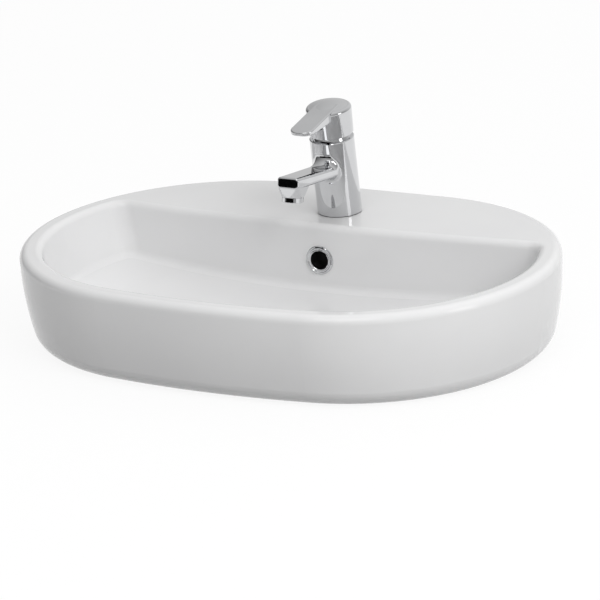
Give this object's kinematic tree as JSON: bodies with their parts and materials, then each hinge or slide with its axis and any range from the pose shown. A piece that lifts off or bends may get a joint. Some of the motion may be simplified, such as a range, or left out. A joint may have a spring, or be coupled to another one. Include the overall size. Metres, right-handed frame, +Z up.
{
  "type": "countertop basin",
  "caption": "Oval ceramic countertop basin with a straight back, a tap deck, a ringed overflow, a click plug waste and a leaning one-hole mixer tap with a lever.",
  "frame": {"origin": "centre of the basin's outline on the plane of its foot ring, where it stands on the worktop", "axes": "+X to the user's right along the basin's width, +Y to the wall behind, +Z up"},
  "size_m": [0.6, 0.4239, 0.2765],
  "materials": {
    "white_ceramic": "gloss white glaze",
    "chromed_brass": "polished chrome plate",
    "bare_brass": "machined",
    "steel": "zinc plated or stainless",
    "black_rubber": "matt",
    "white_plastic": "moulded",
    "grey_plastic": "moulded",
    "disc_ceramic": "lapped"
  },
  "bodies": {
    "basin": {"basin_bowl": "white_ceramic", "overflow_ring": "chromed_brass", "waste_body": "chromed_brass", "waste_flange_seal": "black_rubber", "waste_lower_seal": "black_rubber", "waste_slip_washer": "white_plastic", "waste_backnut": "white_plastic", "click_barrel": "grey_plastic", "tap_body": "chromed_brass", "tap_base_gasket": "black_rubber", "fixing_stud": "steel", "clamp_gasket": "black_rubber", "clamp_plate": "steel", "fixing_nut": "bare_brass", "cartridge_seals": "black_rubber", "cartridge_base": "white_plastic", "fixed_disc": "disc_ceramic", "cartridge_housing": "white_plastic", "cartridge_nut": "bare_brass", "cartridge_dome": "chromed_brass", "aerator_housing": "chromed_brass", "aerator_insert": "white_plastic", "aerator_gasket": "black_rubber"},
    "carrier": {"cartridge_carrier": "white_plastic", "stem_pin": "steel"},
    "lever": {"lever_stem": "steel", "lever_handle": "chromed_brass", "grub_screw": "steel", "screw_cover": "grey_plastic"},
    "disc": {"moving_disc": "disc_ceramic", "disc_driver": "white_plastic"},
    "plug": {"plug_cap": "chromed_brass", "plug_seal": "black_rubber", "plug_spindle": "bare_brass"}
  },
  "joints": [
    {"name": "temperature_turn", "type": "hinge", "parent": "basin", "child": "carrier", "pos_m": [0, 0.11493, 0.18455], "axis": [0, -0.1045, 0.9945], "range_deg": [-45, 45]},
    {"name": "flow_lift", "type": "hinge", "parent": "carrier", "child": "lever", "pos_m": [0, 0.11493, 0.18455], "axis": [-1, 0, 0], "range_deg": [0, 20]},
    {"name": "disc_slide", "type": "slide", "parent": "carrier", "child": "disc", "axis": [0, -0.9945, -0.1045], "range_m": [0, 0.00377]},
    {"name": "plug_slide", "type": "slide", "parent": "basin", "child": "plug", "axis": [0, 0, 1], "range_m": [0, 0.008]}
  ],
  "couplings": [
    {"joint": "disc_slide", "follows": "flow_lift", "m_per_rad": 0.0108}
  ]
}
